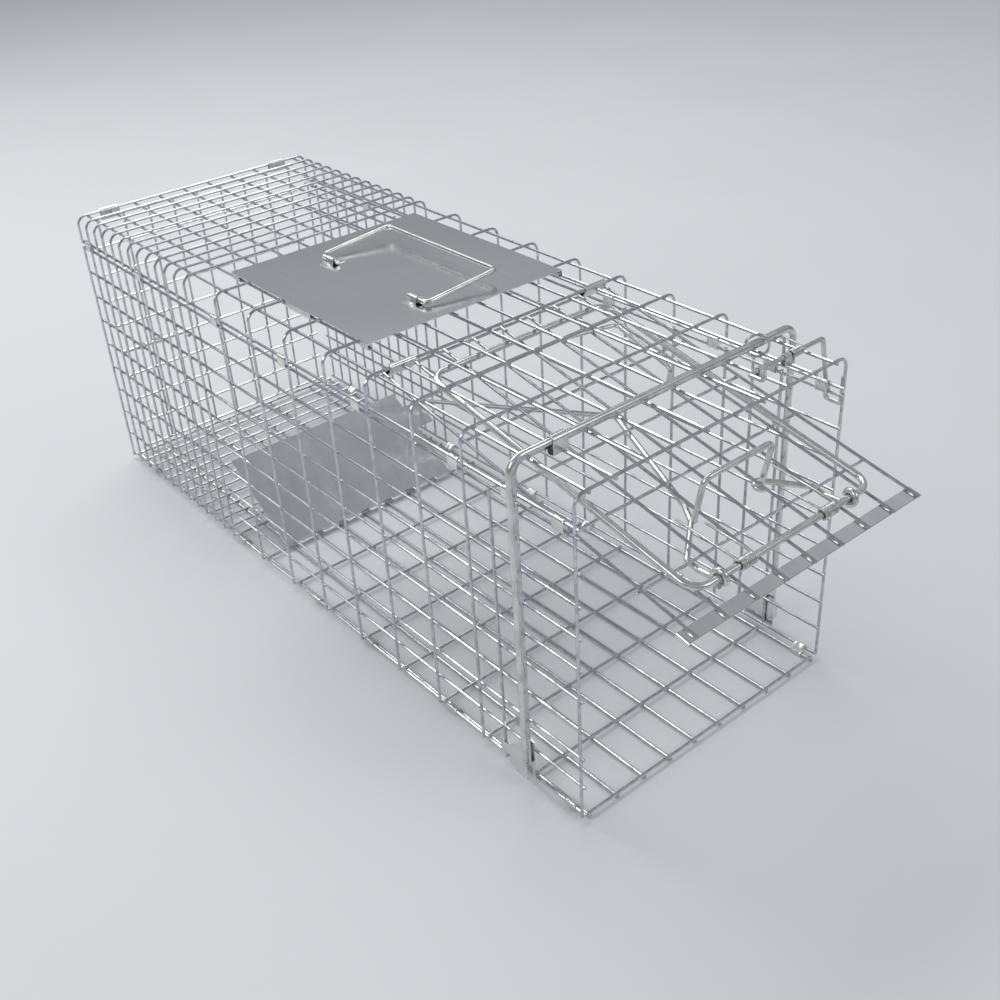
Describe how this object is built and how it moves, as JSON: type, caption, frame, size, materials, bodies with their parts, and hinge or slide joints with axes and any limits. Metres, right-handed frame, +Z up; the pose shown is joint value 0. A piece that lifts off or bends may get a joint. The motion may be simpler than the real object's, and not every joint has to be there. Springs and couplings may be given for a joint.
{
  "type": "live catch trap",
  "caption": "Folding wire-mesh live catch trap, standing set, with a raised drop door, trip rod, treadle, brace stay and carrying handle.",
  "frame": {"origin": "centre of the assembly's bounding box at floor level", "axes": "+Z up, -Y towards the door end, X across the cage"},
  "size_m": [0.2582, 0.7404, 0.2658],
  "materials": {
    "mesh_wire": "zinc-plated welded wire, bright",
    "rod_wire": "zinc-plated drawn wire, bright",
    "spring_wire": "zinc-plated spring wire",
    "sheet_bright": "bright galvanised sheet",
    "sheet_clip": "crimped galvanised strip"
  },
  "bodies": {
    "cage": {"floor_panel": "mesh_wire", "left_side_panel": "mesh_wire", "right_side_panel": "mesh_wire", "roof_panel": "mesh_wire", "upper_left_ferrules": "sheet_clip", "upper_right_ferrules": "sheet_clip", "lower_left_ferrules": "sheet_clip", "lower_right_ferrules": "sheet_clip", "door_hinge_clips": "sheet_clip", "rear_hinge_clips": "sheet_clip", "guard_plate": "sheet_bright", "handle_saddles": "sheet_clip", "left_foot_plate": "sheet_bright", "right_foot_plate": "sheet_bright", "stay_clip": "sheet_clip", "stay_ring": "rod_wire", "set_lever_spring": "spring_wire", "set_lever_clips": "sheet_clip"},
    "door": {"door_panel": "mesh_wire", "door_edge_strip": "sheet_bright", "door_loop": "rod_wire", "lift_hook": "rod_wire", "left_trip_spring": "spring_wire", "right_trip_spring": "spring_wire"},
    "trip": {"trip_rod": "rod_wire", "right_trip_lever": "rod_wire", "trip_bridge": "rod_wire"},
    "treadle": {"treadle_plate": "sheet_bright"},
    "handle": {"carry_handle": "rod_wire"},
    "stay": {"brace_stay": "rod_wire"},
    "set_lever": {"set_lever": "rod_wire"},
    "rear_door": {"rear_panel": "mesh_wire", "rear_latch_keepers": "sheet_clip"},
    "latch": {"rear_latch_bolt": "rod_wire"}
  },
  "joints": [
    {"name": "door_swing", "type": "hinge", "parent": "cage", "child": "door", "pos_m": [0, -0.0849, 0.2465], "axis": [1, 0, 0], "range_deg": [0, 42.6]},
    {"name": "trip_swing", "type": "hinge", "parent": "door", "child": "trip", "pos_m": [0, -0.34768, 0.19617], "axis": [1, 0, 0], "range_deg": [-24, 0]},
    {"name": "treadle_tilt", "type": "hinge", "parent": "cage", "child": "treadle", "pos_m": [0, 0.1132, 0.00375], "axis": [1, 0, 0], "range_deg": [-30, 0]},
    {"name": "handle_swing", "type": "hinge", "parent": "cage", "child": "handle", "pos_m": [-0.024, 0.0383, 0.2578], "axis": [0, 1, 0], "range_deg": [-165, 0]},
    {"name": "stay_swing", "type": "hinge", "parent": "cage", "child": "stay", "pos_m": [0, -0.24494, 0.2578], "axis": [1, 0, 0], "range_deg": [0, 90]},
    {"name": "set_lever_swing", "type": "hinge", "parent": "cage", "child": "set_lever", "pos_m": [0.09, -0.2692, 0.2557], "axis": [1, 0, 0], "range_deg": [-90, 0], "stiffness_Nm_per_rad": 0.05},
    {"name": "rear_door_swing", "type": "hinge", "parent": "cage", "child": "rear_door", "pos_m": [0, 0.3672, 0.2465], "axis": [1, 0, 0], "range_deg": [-85, 110]},
    {"name": "latch_slide", "type": "slide", "parent": "rear_door", "child": "latch", "axis": [-1, 0, 0], "range_m": [0, 0.02]}
  ],
  "couplings": [
    {"joint": "trip_swing", "follows": "door_swing", "ratio": -0.547}
  ]
}
